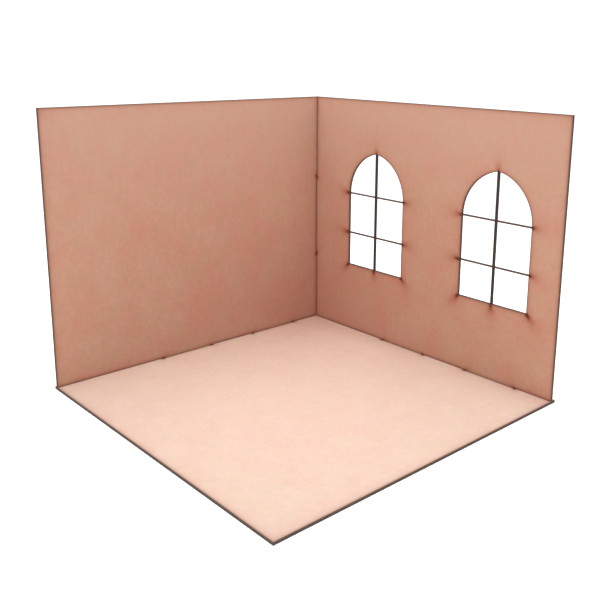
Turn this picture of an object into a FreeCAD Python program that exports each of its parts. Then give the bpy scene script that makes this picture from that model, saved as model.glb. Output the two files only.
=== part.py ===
"""Corner of a room for tabletop miniatures: a floor and two walls cut from one flat board.

The floor panel lies flat. The plain wall stands along its left side and the window wall along its
back. Each stands on two tabs that pass down through closed slots in the floor and end flush with
its underside. The walls meet in a finger joint: the window wall's middle finger fills a notch in
the end of the plain wall. Two pointed windows, each with an upright mullion and two level glazing
bars, are cut straight out of the window wall's own sheet.

Millimetres, +Z up. The origin is the centre of the overall box's underside. The room is open
towards +X (right) and -Y (front).
"""
import FreeCAD, Part
import math
import os

BOARD = 1.8  # real thickness of the nominal 2 mm sheet that all three panels are cut from
FLOOR_SIDE = 250.0  # the floor is square
WALL_HEIGHT = 197.0  # above the floor's top face
SIDE_LEDGE = 2.2  # floor left showing outside the plain wall
BACK_LEDGE = 3.2  # floor left showing outside the window wall

TAB_STARTS = (86.0, 173.0)  # from a wall's left end, as seen from inside the room
TAB_LENGTH = 44.5
FINGER_BOTTOM = 58.5  # the notch's foot, above the floor's top face
FINGER_TOP = 128.0
PLAY = 0.05  # gap on each side of a tab or finger, left by the cutter

FIRST_WINDOW = 42.0  # from the corner to the first window's left jamb, inside the room
WINDOW_PITCH = 119.0
WINDOW_WIDTH = 60.0
SILL_HEIGHT = 57.8  # above the floor's top face
SPRING_HEIGHT = 119.2  # where the jambs end and the arch begins
ARCH_RISE = 35.1
MULLION_WIDTH = 1.6
GLAZING_BAR_HEIGHT = 1.1
GLAZING_BAR_CENTRES = (85.4, SPRING_HEIGHT)

LEFT = -FLOOR_SIDE / 2
FRONT = -FLOOR_SIDE / 2
PLAIN_INNER_X = LEFT + SIDE_LEDGE + BOARD
WINDOW_INNER_Y = -FRONT - BACK_LEDGE - BOARD
PLAIN_LENGTH = WINDOW_INNER_Y + BOARD - FRONT
WINDOW_LENGTH = -LEFT - PLAIN_INNER_X + BOARD


def point(s, z):
    """A point of a wall's outline: s along the wall, z above the floor, inner face at y = 0."""
    return FreeCAD.Vector(s, 0, z)


def wall_sheet(outline):
    """A board cut to the closed outline of (s, z) points, standing with its inner face at y = 0."""
    corners = [point(s, z) for s, z in outline]
    wire = Part.makePolygon(corners + corners[:1])
    return Part.Face(wire).extrude(FreeCAD.Vector(0, BOARD, 0))


def foot_with_tabs():
    """The stretch of a wall's outline that steps down round each tab, from left to right."""
    steps = []
    for start in TAB_STARTS:
        end = start + TAB_LENGTH
        steps += [(start, 0), (start, -BOARD), (end, -BOARD), (end, 0)]
    return steps


def plain_wall():
    """The left wall. Its right end is notched for the window wall's finger."""
    notch_depth = PLAIN_LENGTH - BOARD
    outline = [(0, 0)] + foot_with_tabs()
    outline += [(PLAIN_LENGTH, 0), (PLAIN_LENGTH, FINGER_BOTTOM)]
    outline += [(notch_depth, FINGER_BOTTOM), (notch_depth, FINGER_TOP)]
    outline += [(PLAIN_LENGTH, FINGER_TOP), (PLAIN_LENGTH, WALL_HEIGHT), (0, WALL_HEIGHT)]
    wall = wall_sheet(outline)
    wall.rotate(FreeCAD.Vector(0, 0, 0), FreeCAD.Vector(0, 0, 1), 90)
    wall.translate(FreeCAD.Vector(PLAIN_INNER_X, FRONT, BOARD))
    return wall


def window_outline(left):
    """The closed edge of one window: sill, jambs, and two equal arcs that meet in a point."""
    right = left + WINDOW_WIDTH
    middle = left + WINDOW_WIDTH / 2
    half = WINDOW_WIDTH / 2
    radius = (half**2 + ARCH_RISE**2) / (2 * half)
    past_middle = radius - half
    mid_angle = math.acos(past_middle / radius) / 2
    across = radius * math.cos(mid_angle) - past_middle
    up = SPRING_HEIGHT + radius * math.sin(mid_angle)
    apex = point(middle, SPRING_HEIGHT + ARCH_RISE)
    foot_left = point(left, SILL_HEIGHT)
    foot_right = point(right, SILL_HEIGHT)
    spring_left = point(left, SPRING_HEIGHT)
    spring_right = point(right, SPRING_HEIGHT)
    return Part.Wire([
        Part.LineSegment(foot_left, foot_right).toShape(),
        Part.LineSegment(foot_right, spring_right).toShape(),
        Part.Arc(spring_right, point(middle + across, up), apex).toShape(),
        Part.Arc(apex, point(middle - across, up), spring_left).toShape(),
        Part.LineSegment(spring_left, foot_left).toShape(),
    ])


def window_panes(left):
    """The six empty panes of one window: its whole opening less the mullion and glazing bars."""
    panes = Part.Face(window_outline(left)).extrude(FreeCAD.Vector(0, BOARD, 0))
    mullion_left = left + (WINDOW_WIDTH - MULLION_WIDTH) / 2
    mullion_height = ARCH_RISE + SPRING_HEIGHT - SILL_HEIGHT
    bars = [Part.makeBox(MULLION_WIDTH, BOARD, mullion_height, point(mullion_left, SILL_HEIGHT))]
    for centre in GLAZING_BAR_CENTRES:
        corner = point(left, centre - GLAZING_BAR_HEIGHT / 2)
        bars.append(Part.makeBox(WINDOW_WIDTH, BOARD, GLAZING_BAR_HEIGHT, corner))
    return panes.cut(bars)


def window_wall():
    """The back wall. Its left end carries the finger, and its windows' bars are part of it."""
    finger_bottom = FINGER_BOTTOM + PLAY
    finger_top = FINGER_TOP - PLAY
    outline = [(BOARD, 0)] + foot_with_tabs()
    outline += [(WINDOW_LENGTH, 0), (WINDOW_LENGTH, WALL_HEIGHT), (BOARD, WALL_HEIGHT)]
    outline += [(BOARD, finger_top), (0, finger_top), (0, finger_bottom), (BOARD, finger_bottom)]
    wall = wall_sheet(outline)
    for number in range(2):
        left = BOARD + FIRST_WINDOW + number * WINDOW_PITCH
        wall = wall.cut(window_panes(left))
    wall.translate(FreeCAD.Vector(PLAIN_INNER_X - BOARD, WINDOW_INNER_Y, BOARD))
    return wall


def floor_panel():
    """The square floor, with one closed slot for each of the four tabs."""
    floor = Part.makeBox(FLOOR_SIDE, FLOOR_SIDE, BOARD, FreeCAD.Vector(LEFT, FRONT, 0))
    slot_length = TAB_LENGTH + 2 * PLAY
    slot_width = BOARD + 2 * PLAY
    for start in TAB_STARTS:
        side_corner = FreeCAD.Vector(PLAIN_INNER_X - BOARD - PLAY, FRONT + start - PLAY, 0)
        back_corner = FreeCAD.Vector(PLAIN_INNER_X - BOARD + start - PLAY, WINDOW_INNER_Y - PLAY, 0)
        side_slot = Part.makeBox(slot_width, slot_length, BOARD, side_corner)
        back_slot = Part.makeBox(slot_length, slot_width, BOARD, back_corner)
        floor = floor.cut([side_slot, back_slot])
    return floor


def only_solid(shape):
    """The one solid that a panel is, free of any compound left round it by the cuts."""
    solids = shape.removeSplitter().Solids
    if len(solids) != 1 or not solids[0].isValid():
        raise ValueError("a panel is one valid solid")
    return solids[0]


PANELS = {"floor_panel": floor_panel, "plain_wall": plain_wall, "window_wall": window_wall}

os.makedirs("parts", exist_ok=True)
for name, make_panel in PANELS.items():
    only_solid(make_panel()).exportStep(f"parts/{name}.step")
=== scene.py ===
"""A corner of a room for tabletop miniatures: three panels of laser-cut fibreboard.

Each panel's outline is read from its CAD node. The panel is then built again as a fine mesh with
softened arrises. Every vertex carries measures that the procedural materials read: how far the
nearest cut and the nearest other panel are, how wide the board is there, and how much smoke lies
on the face round the corners of the cut. One material is for the walls' faces, one for the
floor's, and one for all the charred edges. The walls' and the floor's are copies of one board,
the walls' darker as painted shade and the floor's lighter as painted light. Their colour also
holds painted light, paler towards the walls' tops, and painted shade, darker and redder near the
inner corner and dark along the seams where the panels meet.
"""

import math

import bmesh
import bpy
import numpy as np
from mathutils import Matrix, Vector
from mathutils.geometry import delaunay_2d_cdt


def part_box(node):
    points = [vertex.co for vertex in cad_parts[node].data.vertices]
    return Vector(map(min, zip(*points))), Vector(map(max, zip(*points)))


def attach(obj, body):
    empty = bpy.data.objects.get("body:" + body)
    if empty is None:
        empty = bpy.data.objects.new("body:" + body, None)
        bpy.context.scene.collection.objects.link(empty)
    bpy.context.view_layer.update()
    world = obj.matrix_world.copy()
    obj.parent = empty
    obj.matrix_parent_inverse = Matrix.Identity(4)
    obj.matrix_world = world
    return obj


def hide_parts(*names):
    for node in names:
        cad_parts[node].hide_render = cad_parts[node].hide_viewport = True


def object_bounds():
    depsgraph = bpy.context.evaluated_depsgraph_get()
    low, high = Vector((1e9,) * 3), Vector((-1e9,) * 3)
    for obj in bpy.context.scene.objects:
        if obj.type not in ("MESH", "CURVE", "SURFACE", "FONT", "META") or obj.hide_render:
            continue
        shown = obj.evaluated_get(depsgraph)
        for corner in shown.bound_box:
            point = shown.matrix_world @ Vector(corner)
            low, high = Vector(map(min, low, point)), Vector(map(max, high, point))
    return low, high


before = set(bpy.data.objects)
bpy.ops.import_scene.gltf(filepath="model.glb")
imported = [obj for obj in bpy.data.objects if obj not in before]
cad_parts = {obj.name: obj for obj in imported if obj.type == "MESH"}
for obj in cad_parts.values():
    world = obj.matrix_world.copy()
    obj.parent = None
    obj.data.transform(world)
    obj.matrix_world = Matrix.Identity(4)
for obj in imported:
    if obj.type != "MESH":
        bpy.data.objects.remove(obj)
cad_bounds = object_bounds()

MM = 0.001
BODY = "root"
FACE, EDGE = 0, 1  # a panel's two materials

# Each panel's own axes: across x up = face, the side that looks into the room.
SHEETS = {
    "floor_panel": {"across": (1, 0, 0), "up": (0, 1, 0), "face": (0, 0, 1)},
    "plain_wall": {"across": (0, 1, 0), "up": (0, 0, 1), "face": (1, 0, 0)},
    "window_wall": {"across": (1, 0, 0), "up": (0, 0, 1), "face": (0, -1, 0)},
}

ARRIS = 0.12 * MM  # how far the cut's sharp corner is worn back
FACING = 0.99  # how squarely a CAD face looks the panel's way to be its show face
WELD = 0.001 * MM  # CAD vertices closer than this are one
DECIMALS = 7  # metres are rounded to these, so that the ends of neighbouring edges match
STRAIGHT = 1e-4  # an outline point that bends less than this lies on a straight stretch
SLANT = 0.01 * MM  # an edge is slanting if it goes further than this both ways
CORNER_TURN = math.radians(25)
MITRE_LIMIT = 0.3  # keeps a moved outline from running away at its sharpest corners

STRAIGHT_STEP = 2.0 * MM
ARC_STEP = 0.8 * MM
GRID_STEP = 5.0 * MM
RING_OFFSETS = tuple(r * MM for r in (0.45, 1.0, 2.0, 3.0, 4.0, 5.0))
FAN_RADII = tuple(r * MM for r in (0.5, 1.0, 1.6, 2.4, 3.4, 4.6, 6.0, 7.6, 9.4))
FAN_POINTS = 10  # on a burn mark's smallest ring of points
CLEAR = 0.3 * MM  # interior points keep this far from the outline
SPACING = 0.35 * MM  # and about this far from one another
FAR = 12 * MM  # distances are capped here
MEASURES = ("cut_distance", "board_width", "smoke", "seam", "run", "depth")

TOUCHING = 1.8 * MM  # cut corners this close make one burn mark; another panel this close, a joint
UPWARD = 0.5  # how steeply a mark rises to count as upward
BURN_STRENGTH = (0.85, 1.0)
BURN_REACH = (4.6, 7.0)  # mm
OUTSIDE_STRENGTH = 0.3  # of a mark at the panel's own outside corners
UPWARD_STRENGTH = 0.6  # of an upward mark
JOINT_STRENGTH = 0.9  # of a mark at a tab, finger or slot
JOINT_REACH = 0.4
AIMLESS = 0.1  # corners that face opposite ways leave their mark a shorter direction than this
PLUME = 1.3  # how dark a mark's three parts are at their darkest
CORE = 0.9
HAZE = 0.2
PLUME_WIDTH = 0.9 * MM  # to each side, at the plume's corner
PLUME_SPREAD = 0.4  # how fast it widens
PLUME_BEHIND = 0.8 * MM  # how far it reaches the other way
CORE_RADIUS = 1.3 * MM
HAZE_RADIUS = 0.9  # of the mark's reach
DARKEST = 0.98

BOARD = (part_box("floor_panel")[1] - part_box("floor_panel")[0]).z


# ---- outlines, read from the CAD panels ----------------------------------------------------

def sheet_axes(node):
    """A panel's across, up and face vectors, and how far its show face is along the last."""
    across, up, face = (Vector(SHEETS[node][key]) for key in ("across", "up", "face"))
    low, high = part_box(node)
    return across, up, face, max(low.dot(face), high.dot(face))


def show_face_edges(node):
    """The border edges of a CAD panel's show face, as pairs of (s, t) points."""
    across, up, face, _ = sheet_axes(node)
    solid = bmesh.new()
    solid.from_mesh(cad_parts[node].data)
    bmesh.ops.remove_doubles(solid, verts=solid.verts, dist=WELD)
    bmesh.ops.recalc_face_normals(solid, faces=solid.faces)
    shown = {f for f in solid.faces if f.normal.dot(face) > FACING}
    pairs = []
    for edge in solid.edges:
        if len(shown.intersection(edge.link_faces)) == 1:
            ends = [(v.co.dot(across), v.co.dot(up)) for v in edge.verts]
            pairs.append([(round(s, DECIMALS), round(t, DECIMALS)) for s, t in ends])
    solid.free()
    return pairs


def chain(pairs):
    """Joins border edges end to end into closed loops of points."""
    beside = {}
    for a, b in pairs:
        beside.setdefault(a, []).append(b)
        beside.setdefault(b, []).append(a)
    loops = []
    while beside:
        start = min(beside)
        loop = [start]
        here = beside.pop(start)[0]
        while here != start:
            loop.append(here)
            onward = [p for p in beside.pop(here) if p != loop[-2]]
            here = onward[0]
        loops.append(loop)
    return loops


def turned(loop, anticlockwise):
    """The loop in the asked direction."""
    points = np.array(loop)
    after = np.roll(points, -1, axis=0)
    area = np.sum(points[:, 0] * after[:, 1] - after[:, 0] * points[:, 1]) / 2
    return points if (area > 0) == anticlockwise else points[::-1]


def corners_only(points):
    """The loop without points that lie along its straight stretches."""
    back = points - np.roll(points, 1, axis=0)
    ahead = np.roll(points, -1, axis=0) - points
    bend = back[:, 0] * ahead[:, 1] - back[:, 1] * ahead[:, 0]
    length = np.linalg.norm(back, axis=1) * np.linalg.norm(ahead, axis=1)
    return points[np.abs(bend) > STRAIGHT * length]


def circle_through(a, b, c):
    """The centre of the circle through three points."""
    rows = np.array([b - a, c - a])
    return a + np.linalg.solve(2 * rows, (rows**2).sum(axis=1))


def arc_points(run):
    """A finely divided arc through a run of chords' ends and middle, without its last point."""
    centre = circle_through(run[0], run[len(run) // 2], run[-1])
    spokes = np.array([run[0], run[-1]]) - centre
    radius = np.linalg.norm(spokes[0])
    first, last = np.arctan2(spokes[:, 1], spokes[:, 0])
    sweep = (last - first + math.pi) % (2 * math.pi) - math.pi
    count = max(2, math.ceil(abs(sweep) * radius / ARC_STEP))
    angles = first + sweep * np.arange(count) / count
    return centre + radius * np.stack([np.cos(angles), np.sin(angles)], axis=1)


def with_true_arcs(points):
    """The loop with each run of slanting chords replaced by the smooth arc that they stand for."""
    ahead = np.roll(points, -1, axis=0) - points
    slanting = np.abs(ahead).min(axis=1) > SLANT
    if not slanting.any():
        return points
    first = next(i for i in range(len(points)) if slanting[i] and not slanting[i - 1])
    points = np.roll(points, -first, axis=0)
    slanting = np.roll(slanting, -first)
    result, i = [], 0
    while i < len(points):
        if not slanting[i]:
            result.append(points[i:i + 1])
            i += 1
            continue
        end = i
        while end < len(points) and slanting[end]:
            end += 1
        run = np.concatenate([points[i:end], points[end % len(points)][None]])
        result.append(arc_points(run))
        i = end
    return np.concatenate(result)


def outline_loops(node):
    """A panel's cut lines: its border anticlockwise, then its holes clockwise."""
    loops = sorted(chain(show_face_edges(node)), key=lambda loop: min(loop))
    border = min(loops, key=lambda loop: min(loop))
    return [with_true_arcs(corners_only(turned(loop, loop is border))) for loop in loops]


def divided(points, step):
    """The loop with its long straight stretches divided into equal steps."""
    result = []
    for here, there in zip(points, np.roll(points, -1, axis=0)):
        count = max(1, math.ceil(np.linalg.norm(there - here) / step))
        result.append(here + (there - here) * (np.arange(count) / count)[:, None])
    return np.concatenate(result)


def mitred(points, offset):
    """The loop moved sideways into the board by an even distance."""
    back = points - np.roll(points, 1, axis=0)
    ahead = np.roll(points, -1, axis=0) - points
    sides = []
    for run in (back, ahead):
        unit = run / np.linalg.norm(run, axis=1)[:, None]
        sides.append(np.stack([-unit[:, 1], unit[:, 0]], axis=1))
    stretch = 1 + (sides[0] * sides[1]).sum(axis=1)
    return points + offset * (sides[0] + sides[1]) / np.maximum(stretch, MITRE_LIMIT)[:, None]


# ---- measures on the face ------------------------------------------------------------------

def segments(loops):
    """Every straight piece of the outline, as start points and end points."""
    starts = np.concatenate(loops)
    ends = np.concatenate([np.roll(loop, -1, axis=0) for loop in loops])
    return starts, ends


def cut_distance(points, loops):
    """How far each point is from the nearest of these cuts, capped."""
    starts, ends = segments(loops)
    runs = ends - starts
    squares = (runs**2).sum(axis=1)
    nearest = np.full(len(points), FAR)
    for start, run, square in zip(starts, runs, squares):
        along = np.clip(((points - start) @ run) / square, 0, 1)
        away = np.linalg.norm(points - start - along[:, None] * run, axis=1)
        nearest = np.minimum(nearest, away)
    return nearest


def board_width(points, loops):
    """The width of board left between the two nearest cuts, which is small on a glazing bar."""
    distances = np.sort([cut_distance(points, [loop]) for loop in loops], axis=0)
    return distances[:2].sum(axis=0) if len(loops) > 1 else np.full(len(points), FAR)


def seam_distance(points, node):
    """How far each point of a show face is from where another panel meets it, capped."""
    across, up, _, _ = sheet_axes(node)
    nearest = np.full(len(points), FAR)
    for other in SHEETS:
        if other != node:
            low, high = (np.array([c.dot(across), c.dot(up)]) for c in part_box(other))
            gaps = np.maximum(low - points, 0) + np.maximum(points - high, 0)
            nearest = np.minimum(nearest, np.linalg.norm(gaps, axis=1))
    return nearest


def on_board(points, loops):
    """Which points lie on the board and not in a hole, by counting crossings to the right."""
    inside = np.zeros(len(points), bool)
    for (x0, y0), (x1, y1) in zip(*segments(loops)):
        if y0 == y1:
            continue
        spans = (points[:, 1] >= min(y0, y1)) & (points[:, 1] < max(y0, y1))
        crossing = x0 + (points[:, 1] - y0) * (x1 - x0) / (y1 - y0)
        inside ^= spans & (points[:, 0] < crossing)
    return inside


def cut_corners(loops):
    """The outline's corners: place, direction into the board, and whether the board surrounds it.

    The board surrounds the corners of a window, slot or notch, but not a panel's outside corners.
    """
    corners = []
    for loop in loops:
        back = loop - np.roll(loop, 1, axis=0)
        ahead = np.roll(loop, -1, axis=0) - loop
        for place, before, after in zip(loop, back, ahead):
            turn = math.atan2(before[0] * after[1] - before[1] * after[0], before @ after)
            if abs(turn) < CORNER_TURN:
                continue
            inward = np.array([-before[1], before[0]]) / np.linalg.norm(before)
            inward = inward + np.array([-after[1], after[0]]) / np.linalg.norm(after)
            corners.append((place, inward / np.linalg.norm(inward), turn < 0))
    return corners


def burn_marks(loops, node, random):
    """Where the beam turned a corner: place, direction into the board, length and strength.

    Corners that nearly touch, as on both sides of a bar's end, smoke the board as one. The marks
    of tabs, fingers and slots are short.
    """
    corners = cut_corners(loops)
    marks = []
    while corners:
        place = corners[0][0]
        near = [c for c in corners if np.linalg.norm(c[0] - place) < TOUCHING]
        corners = [c for c in corners if np.linalg.norm(c[0] - place) >= TOUCHING]
        inward = np.mean([c[1] for c in near], axis=0)
        surrounded = any(c[2] for c in near)
        strength = random.uniform(*BURN_STRENGTH) * (1.0 if surrounded else OUTSIDE_STRENGTH)
        reach = random.uniform(*BURN_REACH) * MM
        if seam_distance(place[None], node)[0] < TOUCHING:
            reach *= JOINT_REACH
            strength *= JOINT_STRENGTH
        elif inward[1] > UPWARD:
            strength *= UPWARD_STRENGTH
        middle = np.mean([c[0] for c in near], axis=0)
        marks.append({"place": middle, "inward": inward, "reach": reach, "strength": strength})
    return marks


def smoke(points, marks):
    """How dark the smoke of all the burn marks is at each point, from 0 to 1.

    A mark is a plume that widens away from the corner, a round core and a faint round haze.
    """
    clean = np.ones(len(points))
    for mark in marks:
        away = points - mark["place"]
        square = (away**2).sum(axis=1)
        length = np.linalg.norm(mark["inward"])
        along = away @ (mark["inward"] / max(length, AIMLESS))
        aside = np.sqrt(np.maximum(square - along**2, 0))
        ahead = np.maximum(along, 0)
        width = PLUME_WIDTH + PLUME_SPREAD * ahead
        plume = np.exp(-ahead / mark["reach"] - (aside / width) ** 2)
        plume *= np.exp(-(np.minimum(along, 0) / PLUME_BEHIND) ** 2)
        core = np.exp(-square / CORE_RADIUS**2)
        haze = np.exp(-square / (HAZE_RADIUS * mark["reach"]) ** 2)
        dark = (PLUME * plume + CORE * core + HAZE * haze) * mark["strength"]
        clean *= 1 - np.minimum(dark, DARKEST)
    return 1 - clean


# ---- panel meshes --------------------------------------------------------------------------

def ring_profile():
    """The board's edge from its show face to its back: how far in, and how deep, each ring is."""
    arc = [math.radians(a) for a in (0, 45, 90)]
    near = [(ARRIS * (1 - math.sin(a)), ARRIS * (1 - math.cos(a))) for a in arc]
    far = [(inset, BOARD - depth) for inset, depth in reversed(near)]
    middle = [(0.0, BOARD / 2)]
    return near + middle + far


def inner_points(loops, marks):
    """Points inside the face: close rows along each cut, fans at the burn marks, an open grid."""
    outline = np.concatenate(loops)
    low, high = outline.min(axis=0), outline.max(axis=0)
    columns = np.arange(low[0] + GRID_STEP / 2, high[0], GRID_STEP)
    rows = np.arange(low[1] + GRID_STEP / 2, high[1], GRID_STEP)
    points = [np.stack(np.meshgrid(columns, rows), axis=-1).reshape(-1, 2)]
    for loop in loops:
        for offset in RING_OFFSETS:
            points.append(mitred(divided(loop, STRAIGHT_STEP + offset / 2), offset))
    for mark in marks:
        for number, radius in enumerate(FAN_RADII):
            count = FAN_POINTS + number
            angles = 2 * math.pi * (np.arange(count) + 0.5 * (number % 2)) / count
            ring = np.stack([np.cos(angles), np.sin(angles)], axis=1)
            points.append(mark["place"] + radius * ring)
    points = np.concatenate(points)
    points = points[on_board(points, loops)]
    points = points[cut_distance(points, loops) > CLEAR + ARRIS]
    return thinned(points)


def thinned(points):
    """The points, with only the first kept of those that share a small square."""
    _, first = np.unique(np.floor(points / SPACING).astype(int), axis=0, return_index=True)
    return points[np.sort(first)]


def triangulated(rims, free):
    """Triangles over the face between the rims: all points, triangles, and each rim's numbers."""
    points = [tuple(p) for rim in rims for p in rim] + [tuple(p) for p in free]
    edges, numbers, base = [], [], 0
    for rim in rims:
        around = [base + i for i in range(len(rim))]
        numbers.append(around)
        edges += list(zip(around, around[1:] + around[:1]))
        base += len(rim)
    constraints_only = 1  # the triangulation's output type; holes are taken out below
    found = delaunay_2d_cdt([Vector(p) for p in points], edges, [], constraints_only, 1e-9)
    places = np.array([tuple(p) for p in found[0]])
    triangles = np.array(found[2])
    kept = triangles[on_board(places[triangles].mean(axis=1), rims)]
    renumbered = {old: new for new, olds in enumerate(found[3]) for old in olds}
    rim_numbers = [[renumbered[i] for i in around] for around in numbers]
    return places, kept.tolist(), rim_numbers


class PanelMesh:
    """Gathers a panel's vertices and faces, with the measures that its materials read."""

    def __init__(self, node):
        self.across, self.up, self.face, self.plane = sheet_axes(node)
        self.places = []
        self.faces = []
        self.materials = []
        self.measures = {key: [] for key in MEASURES}

    def add_points(self, points, depth, **measures):
        """Adds points at one depth below the show face and returns the first one's number."""
        first = len(self.places)
        for s, t in points:
            self.places.append(self.across * s + self.up * t + self.face * (self.plane - depth))
        measures["depth"] = depth / MM
        for key, values in self.measures.items():
            values += list(np.broadcast_to(measures.get(key, 0.0), len(points)))
        return first

    def add_faces(self, faces, material):
        """Adds faces that all have one material, FACE or EDGE."""
        self.faces += faces
        self.materials += [material] * len(faces)

    def finished(self, name, materials):
        """The Blender object."""
        mesh = bpy.data.meshes.new(name)
        mesh.from_pydata(self.places, [], self.faces)
        for material in materials:
            mesh.materials.append(material)
        mesh.polygons.foreach_set("material_index", self.materials)
        for key, values in self.measures.items():
            attribute = mesh.attributes.new(key, "FLOAT", "POINT")
            attribute.data.foreach_set("value", np.array(values, np.float32))
        mesh.validate()
        mesh.update()
        piece = bpy.data.objects.new(name, mesh)
        bpy.context.scene.collection.objects.link(piece)
        return piece


def add_cut_edge(panel, cut, loops, upper, lower):
    """Adds the edge along one cut, between the show face's rim and the back's."""
    steps = np.linalg.norm(np.roll(cut, -1, axis=0) - cut, axis=1)
    measures = {
        "run": np.concatenate([[0.0], np.cumsum(steps)[:-1]]) / MM,
        "board_width": board_width(cut, loops) / MM,
        "seam": FAR / MM,
    }
    rings = [upper]
    for inset, depth in ring_profile()[1:-1]:
        first = panel.add_points(mitred(cut, inset), depth, **measures)
        rings.append(list(range(first, first + len(cut))))
    rings.append(lower)
    panel.add_faces(edge_quads(rings), EDGE)


def build_panel(node, name, seed, materials):
    """Rebuilds a panel as one closed mesh that stands for its CAD node."""
    loops = outline_loops(node)
    marks = burn_marks(loops, node, np.random.default_rng(seed))
    cuts = [divided(loop, STRAIGHT_STEP) for loop in loops]
    rims = [mitred(cut, ARRIS) for cut in cuts]
    points, triangles, rim_numbers = triangulated(rims, inner_points(loops, marks))
    measures = {
        "cut_distance": cut_distance(points, loops) / MM,
        "board_width": board_width(points, loops) / MM,
        "smoke": smoke(points, marks),
    }
    panel = PanelMesh(node)
    front = panel.add_points(points, 0.0, **measures, seam=seam_distance(points, node) / MM)
    back = panel.add_points(points, BOARD, **measures, seam=FAR / MM)
    panel.add_faces([[front + i for i in t] for t in triangles], FACE)
    panel.add_faces([[back + i for i in reversed(t)] for t in triangles], FACE)
    for cut, numbers in zip(cuts, rim_numbers):
        upper = [front + i for i in numbers]
        lower = [back + i for i in numbers]
        add_cut_edge(panel, cut, loops, upper, lower)
    piece = panel.finished(name, materials)
    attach(piece, BODY)
    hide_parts(node)


def edge_quads(rings):
    """Quads between neighbouring rings, facing away from the board."""
    quads = []
    for upper, lower in zip(rings, rings[1:]):
        for i in range(len(upper)):
            j = (i + 1) % len(upper)
            quads.append([upper[i], lower[i], lower[j], upper[j]])
    return quads


# ---- materials -----------------------------------------------------------------------------

class Nodes:
    """A small helper that adds shader nodes and joins them."""

    def __init__(self, name):
        self.material = bpy.data.materials.new(name)
        self.material.use_nodes = True
        self.tree = self.material.node_tree
        self.shader = self.tree.nodes["Principled BSDF"]
        self.position = self.add("ShaderNodeTexCoord").outputs["Object"]

    def add(self, kind, **settings):
        node = self.tree.nodes.new(kind)
        for key, value in settings.items():
            setattr(node, key, value)
        return node

    def put(self, value, socket):
        """Links a socket, or sets a plain value."""
        if isinstance(value, bpy.types.NodeSocket):
            self.tree.links.new(value, socket)
        else:
            socket.default_value = value

    def math(self, operation, a, b=0.0, clamp=False):
        node = self.add("ShaderNodeMath", operation=operation, use_clamp=clamp)
        self.put(a, node.inputs[0])
        self.put(b, node.inputs[1])
        return node.outputs[0]

    def remap(self, value, low, high, new_low, new_high):
        node = self.add("ShaderNodeMapRange")
        for number, entry in enumerate((value, low, high, new_low, new_high)):
            self.put(entry, node.inputs[number])
        return node.outputs[0]

    def noise(self, scale, detail=2.0, vector=None, roughness=0.5):
        node = self.add("ShaderNodeTexNoise")
        self.put(vector or self.position, node.inputs["Vector"])
        self.put(scale, node.inputs["Scale"])
        self.put(detail, node.inputs["Detail"])
        self.put(roughness, node.inputs["Roughness"])
        return node.outputs["Fac"]

    def height(self):
        node = self.add("ShaderNodeSeparateXYZ")
        self.put(self.position, node.inputs[0])
        return node.outputs["Z"]

    def distance_from(self, place):
        node = self.add("ShaderNodeVectorMath", operation="DISTANCE")
        self.put(self.position, node.inputs[0])
        self.put(place, node.inputs[1])
        return node.outputs["Value"]

    def attribute(self, name):
        return self.add("ShaderNodeAttribute", attribute_name=name).outputs["Fac"]

    def mix(self, amount, a, b):
        node = self.add("ShaderNodeMix", data_type="RGBA")
        self.put(amount, node.inputs["Factor"])
        colours = [s for s in node.inputs if s.type == "RGBA"]
        self.put(a, colours[0])
        self.put(b, colours[1])
        return [s for s in node.outputs if s.type == "RGBA"][0]

    def brightened(self, colour, factor):
        node = self.add("ShaderNodeVectorMath", operation="SCALE")
        self.put(colour, node.inputs[0])
        self.put(factor, node.inputs["Scale"])
        return node.outputs[0]

    def fading(self, distance, reach):
        """1 at no distance, and falling off exponentially over the reach."""
        negative = self.math("MULTIPLY", distance, -1.0)
        return self.math("EXPONENT", self.math("DIVIDE", negative, reach))

    def set_sheen(self, roughness, specular):
        self.put(roughness, self.shader.inputs["Roughness"])
        self.put(specular, self.shader.inputs["Specular IOR Level"])

    def bump(self, height, distance):
        node = self.add("ShaderNodeBump")
        self.put(height, node.inputs["Height"])
        self.put(distance, node.inputs["Distance"])
        self.tree.links.new(node.outputs["Normal"], self.shader.inputs["Normal"])


def linear(red, green, blue):
    """An sRGB colour of 0 to 255 as linear values."""
    def channel(value):
        value /= 255
        return value / 12.92 if value <= 0.04045 else ((value + 0.055) / 1.055) ** 2.4
    return (channel(red), channel(green), channel(blue), 1.0)


# Painted light: the paler tint that the walls take towards their tops.
TOP_LIGHT_TINT = linear(159, 127, 110)
TOAST = linear(150, 94, 74)
SCORCH = linear(92, 50, 36)
SMOKE = linear(132, 50, 20)
SOOT = linear(66, 28, 20)
# Painted shade: the dark line where another panel meets the face.
SEAM_SHADE = linear(90, 38, 22)
CHAR = linear(44, 33, 28)
EDGE_DARK = linear(58, 47, 41)
EDGE_LIGHT = linear(86, 72, 65)

# Each board has four tints, the last a darker, redder one painted as shade near the inner corner,
# and the strength of its flecks, of the painted shade along its seams and of the toast.
# The walls' copy of the board: the same board as the floor's, its tints darker as painted shade.
SHADED_WALL_BOARD = {
    "pale": linear(162, 124, 104),
    "warm": linear(163, 115, 97),
    "olive": linear(157, 122, 97),
    # painted shade: darker and redder near the inner corner
    "corner_shade": linear(154, 92, 78),
    "grain": 0.05,
    # painted shade along the seams
    "seam_shade_strength": 0.62,
    "toast": 0.42,
}
# The floor's copy of the same board, its tints lighter as painted light.
LIT_FLOOR_BOARD = {
    "pale": linear(194, 169, 155),
    "warm": linear(193, 164, 151),
    "olive": linear(190, 169, 149),
    # painted shade: darker and redder near the inner corner
    "corner_shade": linear(185, 141, 119),
    "grain": 0.025,
    # painted shade along the seams
    "seam_shade_strength": 0.15,
    "toast": 0.25,
}

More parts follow.
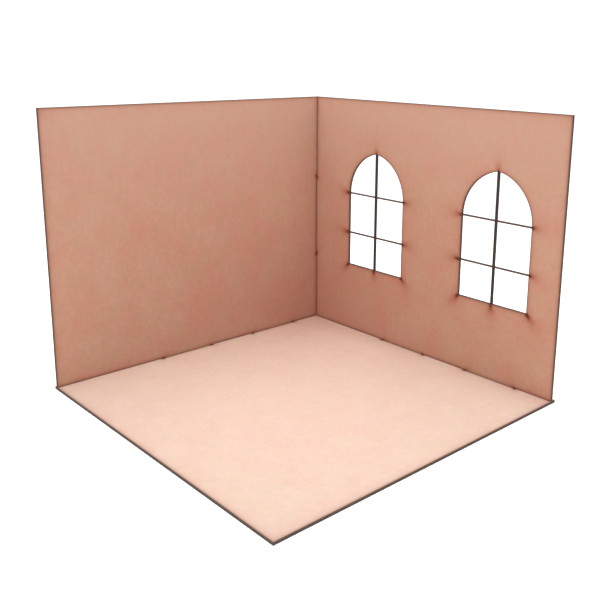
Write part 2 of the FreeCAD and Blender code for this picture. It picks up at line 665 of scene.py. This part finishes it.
# Noise scales: on the faces per metre, on the cut edges per millimetre.
CLOUDS = 45
PATCHES = 110
DRIFTS = 160
FLECKS = 300
WISPS = 420
FIBRES = 1400
EDGE_LINES = 2.6
EDGE_STAINS = 0.12
LINE_STRETCH = 0.12  # draws the edges' lines out through the board's thickness

TOP_LIGHT_HEIGHTS = (100 * MM, 200 * MM)  # painted light: the walls are paler towards their tops
CORNER_SHADE_REACH = 80 * MM  # painted shade, darker and redder, reaches this far from the inner corner
TOAST_REACH = 3.6  # mm from a cut, like the next two
SCORCH_REACH = 0.85
CHAR_REACH = 0.25
SEAM_SHADE_REACH = 1.0  # mm from another panel, over which painted shade darkens the face
SEAM_SHELTER = (0.3, 1.5)  # mm from another panel, between which the char comes in
BAR_WIDTHS = (1.1, 1.6, 2.6)  # mm: a glazing bar, a mullion, and board too wide to char across


def inner_corner():
    """Where the floor and both walls meet, on the inside of the room."""
    return (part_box("plain_wall")[1].x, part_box("window_wall")[0].y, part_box("floor_panel")[1].z)


def narrow_bars(n):
    """How far the board is charred right across: on the mullions and, less, the glazing bars."""
    glazing_bar, mullion, wide = BAR_WIDTHS
    width = n.attribute("board_width")
    charred = n.remap(width, mullion, wide, 1, 0)
    return n.math("MULTIPLY", charred, n.remap(width, glazing_bar, mullion, 0.7, 1))


def board_with_painted_light(n, fibres, board):
    """Cloudy tint with fine fibres. Painted light makes it paler towards the top, and painted shade
    makes it darker and redder near the inner corner.
    """
    clouds = n.remap(n.noise(CLOUDS, 3), 0.36, 0.62, 0, 1)
    patches = n.remap(n.noise(PATCHES, 3), 0.45, 0.62, 0, 0.6)
    colour = n.mix(patches, n.mix(clouds, board["pale"], board["warm"]), board["olive"])
    colour = n.brightened(colour, n.remap(fibres, 0.3, 0.7, 0.95, 1.05))
    flecks = n.remap(n.noise(FLECKS, 2), 0.3, 0.7, 1 - board["grain"], 1 + board["grain"])
    colour = n.brightened(colour, flecks)
    # Painted light: paler towards the walls' tops.
    colour = n.mix(n.remap(n.height(), *TOP_LIGHT_HEIGHTS, 0, 0.6), colour, TOP_LIGHT_TINT)
    # Painted shade: darker and redder near the inner corner.
    corner_shade = n.fading(n.distance_from(inner_corner()), CORNER_SHADE_REACH)
    return n.mix(n.math("MULTIPLY", corner_shade, 0.6), colour, board["corner_shade"])


def cutter_marks_and_seam_shade(n, colour, board):
    """The colour with what the laser left: toast, smoke, scorch and char; and with painted shade
    along the seams where another panel meets the face.
    """
    away = n.attribute("cut_distance")
    seam = n.attribute("seam")
    drifts = n.remap(n.noise(DRIFTS, 3), 0.3, 0.7, 0.5, 1.5)
    toasted = n.fading(away, n.math("MULTIPLY", drifts, TOAST_REACH))
    colour = n.mix(n.math("MULTIPLY", toasted, board["toast"]), colour, TOAST)
    wisps = n.remap(n.noise(WISPS, 3), 0.25, 0.75, 0.85, 1.15)
    smoked = n.math("MULTIPLY", n.attribute("smoke"), wisps, clamp=True)
    colour = n.mix(smoked, colour, n.mix(n.math("POWER", smoked, 2.6), SMOKE, SOOT))
    colour = n.mix(n.math("MULTIPLY", n.fading(away, SCORCH_REACH), 0.95), colour, SCORCH)
    # Painted shade along the seams where another panel meets the face.
    colour = n.mix(n.math("MULTIPLY", n.fading(seam, SEAM_SHADE_REACH), board["seam_shade_strength"]), colour, SEAM_SHADE)
    charred = n.math("MULTIPLY", n.fading(away, CHAR_REACH), n.remap(seam, *SEAM_SHELTER, 0.15, 1))
    return n.mix(n.math("MAXIMUM", charred, narrow_bars(n)), colour, CHAR)


def board_face(name, board):
    """The face of fibreboard, its colour holding painted light and painted shade."""
    n = Nodes(name)
    fibres = n.noise(FIBRES, 3, roughness=0.7)
    n.put(cutter_marks_and_seam_shade(n, board_with_painted_light(n, fibres, board), board), n.shader.inputs["Base Color"])
    n.set_sheen(0.72, 0.25)
    n.bump(fibres, 0.03 * MM)
    return n.material


def cut_edge(name):
    """The charred edge: dark brown, with fine lines through the board left by the beam's pulses."""
    n = Nodes(name)
    place = n.add("ShaderNodeCombineXYZ")
    n.put(n.attribute("run"), place.inputs[0])
    n.put(n.math("MULTIPLY", n.attribute("depth"), LINE_STRETCH), place.inputs[1])
    lines = n.noise(EDGE_LINES, 3, vector=place.outputs[0], roughness=0.6)
    stains = n.noise(EDGE_STAINS, 2, vector=place.outputs[0])
    colour = n.mix(n.remap(lines, 0.3, 0.7, 0, 1), EDGE_DARK, EDGE_LIGHT)
    colour = n.mix(n.remap(stains, 0.35, 0.7, 0, 0.4), colour, CHAR)
    colour = n.mix(n.math("MULTIPLY", narrow_bars(n), 0.8), colour, CHAR)
    n.put(colour, n.shader.inputs["Base Color"])
    n.set_sheen(0.85, 0.2)
    n.bump(lines, 0.08 * MM)
    return n.material


def stage_material():
    """Pale studio paper, bright enough to stay white."""
    n = Nodes("studio_paper")
    n.put((0.9, 0.9, 0.9, 1), n.shader.inputs["Base Color"])
    n.put(0.9, n.shader.inputs["Roughness"])
    n.put((1, 1, 1, 1), n.shader.inputs["Emission Color"])
    n.put(0.35, n.shader.inputs["Emission Strength"])
    return n.material


# ---- studio --------------------------------------------------------------------------------

CAMERA_PLACE = (0.39981, -0.34086, 0.23767)
CAMERA_TURN = (76.693, -0.561, 47.503)
CAMERA_LENS = 48.05
CAMERA_SENSOR = 36
CAMERA_SHIFT = (-0.053, -0.1011)
STAGE_HALF = 30.0
STAGE_GAP = 0.05 * MM  # between the part and the floor under it
LIT_PLACE = (0, 0, 0.08)  # what both lamps point at


def add_camera():
    """The camera, with its lens shifted so that the part sits where it should in the picture."""
    data = bpy.data.cameras.new("camera")
    data.lens = CAMERA_LENS
    data.sensor_width = CAMERA_SENSOR
    data.shift_x, data.shift_y = CAMERA_SHIFT
    data.clip_start = 0.01
    camera = bpy.data.objects.new("camera", data)
    camera.location = CAMERA_PLACE
    camera.rotation_euler = [math.radians(a) for a in CAMERA_TURN]
    bpy.context.scene.collection.objects.link(camera)
    bpy.context.scene.camera = camera


def add_stage():
    """A wide flat floor just under the part."""
    mesh = bpy.data.meshes.new("studio_floor")
    turns = ((-1, -1), (1, -1), (1, 1), (-1, 1))
    corners = [(STAGE_HALF * x, STAGE_HALF * y, 0) for x, y in turns]
    mesh.from_pydata(corners, [], [(0, 1, 2, 3)])
    mesh.materials.append(stage_material())
    floor = bpy.data.objects.new("studio_floor", mesh)
    floor.location.z = cad_bounds[0][2] - STAGE_GAP
    bpy.context.scene.collection.objects.link(floor)


def add_softbox(name, place, size, power):
    """A round soft lamp."""
    data = bpy.data.lights.new(name, "AREA")
    data.shape = "DISK"
    data.size = size
    data.energy = power
    lamp = bpy.data.objects.new(name, data)
    lamp.location = place
    aim = Vector(LIT_PLACE) - Vector(place)
    lamp.rotation_euler = aim.to_track_quat("-Z", "Y").to_euler()
    bpy.context.scene.collection.objects.link(lamp)


def add_light():
    """Even white surroundings, a lamp overhead and a large one far in front."""
    world = bpy.data.worlds.new("studio")
    world.use_nodes = True
    background = world.node_tree.nodes["Background"]
    background.inputs["Color"].default_value = (1, 1, 1, 1)
    background.inputs["Strength"].default_value = 1.0
    bpy.context.scene.world = world
    add_softbox("overhead", (-0.06, 0.06, 0.45), 0.5, 2.2)
    add_softbox("front", (1.6, -2.2, 1.2), 2.4, 47.0)


edge = cut_edge("charred_edge")
# The walls' and the floor's materials are one board: the walls' darker as painted shade, the
# floor's lighter as painted light.
shaded_wall_face = board_face("shaded_wall_board", SHADED_WALL_BOARD)
lit_floor_face = board_face("lit_floor_board", LIT_FLOOR_BOARD)
build_panel("floor_panel", "floor_board_panel", 11, (lit_floor_face, edge))
build_panel("plain_wall", "plain_wall_panel", 12, (shaded_wall_face, edge))
build_panel("window_wall", "window_wall_panel", 13, (shaded_wall_face, edge))
add_stage()
add_light()
add_camera()
bpy.context.scene.view_settings.view_transform = "Standard"
